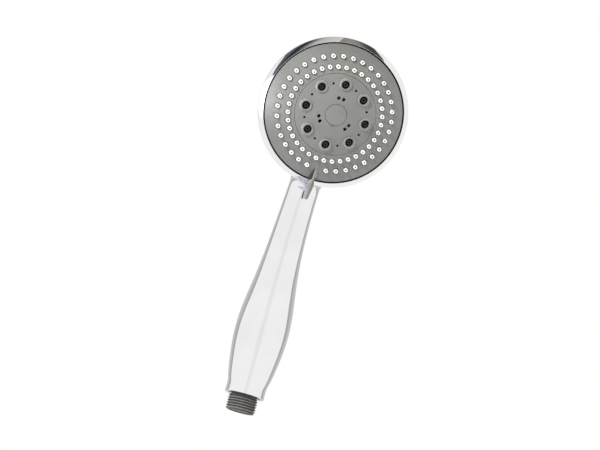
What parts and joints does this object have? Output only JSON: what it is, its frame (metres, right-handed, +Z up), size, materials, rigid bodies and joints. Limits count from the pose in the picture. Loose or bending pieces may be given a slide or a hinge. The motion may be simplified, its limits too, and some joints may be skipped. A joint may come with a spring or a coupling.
{
  "type": "handheld shower head",
  "caption": "Chromed handheld shower head with a tilted round spray face, soft nozzles, raised jets, a turning selector lever and a threaded inlet.",
  "frame": {"origin": "centre of the inlet's end face, on the axis of the hose thread", "axes": "+Z up the thread and the handle towards the head; -Y the way the spray face looks; X = 0 is the plane of symmetry"},
  "size_m": [0.1046, 0.0897, 0.2617],
  "materials": {
    "chrome_plate": "bright chrome plate on ABS",
    "grey_face": "satin mid-grey ABS",
    "grey_thread": "matt dark-grey moulded plastic",
    "white_silicone": "soft translucent white silicone",
    "black_plastic": "matt black moulded plastic",
    "black_rubber": "black EPDM",
    "natural_plastic": "natural acetal",
    "green_plastic": "matt green moulded plastic",
    "stainless": "stainless steel"
  },
  "bodies": {
    "handset": {"body_shell": "chrome_plate", "waterway_tube": "grey_thread", "inlet_filter": "stainless", "flow_regulator": "green_plastic", "regulator_oring": "black_rubber", "inlet_oring": "black_rubber", "distribution_base": "natural_plastic", "spigot_oring": "black_rubber", "base_screw_1": "stainless", "base_screw_2": "stainless", "base_screw_3": "stainless", "base_screw_4": "stainless", "port_seal_spring": "stainless", "detent_spring": "stainless", "hub_oring": "black_rubber", "screw_washer": "stainless", "center_screw": "stainless"},
    "selector": {"diverter_plate": "natural_plastic", "channel_plate": "natural_plastic", "swirl_ring": "natural_plastic", "jet_insert": "black_plastic", "nozzle_membrane": "white_silicone", "face_plate": "grey_face", "center_plate": "grey_face", "selector_lever": "grey_face", "center_cap": "grey_face"},
    "turbine": {"massage_turbine": "black_plastic"},
    "click_pin": {"detent_pin": "natural_plastic"},
    "water_seal": {"port_seal": "black_rubber"}
  },
  "joints": [
    {"name": "selector_turn", "type": "hinge", "parent": "handset", "child": "selector", "pos_m": [0, -0.051, 0.2097], "axis": [0, -0.9272, -0.3746], "range_deg": [-60, 60]},
    {"name": "turbine_spin", "type": "hinge", "parent": "selector", "child": "turbine", "pos_m": [0, -0.051, 0.2097], "axis": [0, -0.9272, -0.3746], "continuous": true},
    {"name": "click_pin_slide", "type": "slide", "parent": "handset", "child": "click_pin", "axis": [0, -0.9272, -0.3746], "range_m": [-0.0011, 0], "stiffness_N_per_m": 400, "springref_m": 0.003, "deforming": ["detent_spring"]},
    {"name": "water_seal_slide", "type": "slide", "parent": "handset", "child": "water_seal", "axis": [0, -0.9272, -0.3746], "range_m": [-0.0005, 0], "stiffness_N_per_m": 800, "springref_m": 0.002, "deforming": ["port_seal_spring"]}
  ]
}
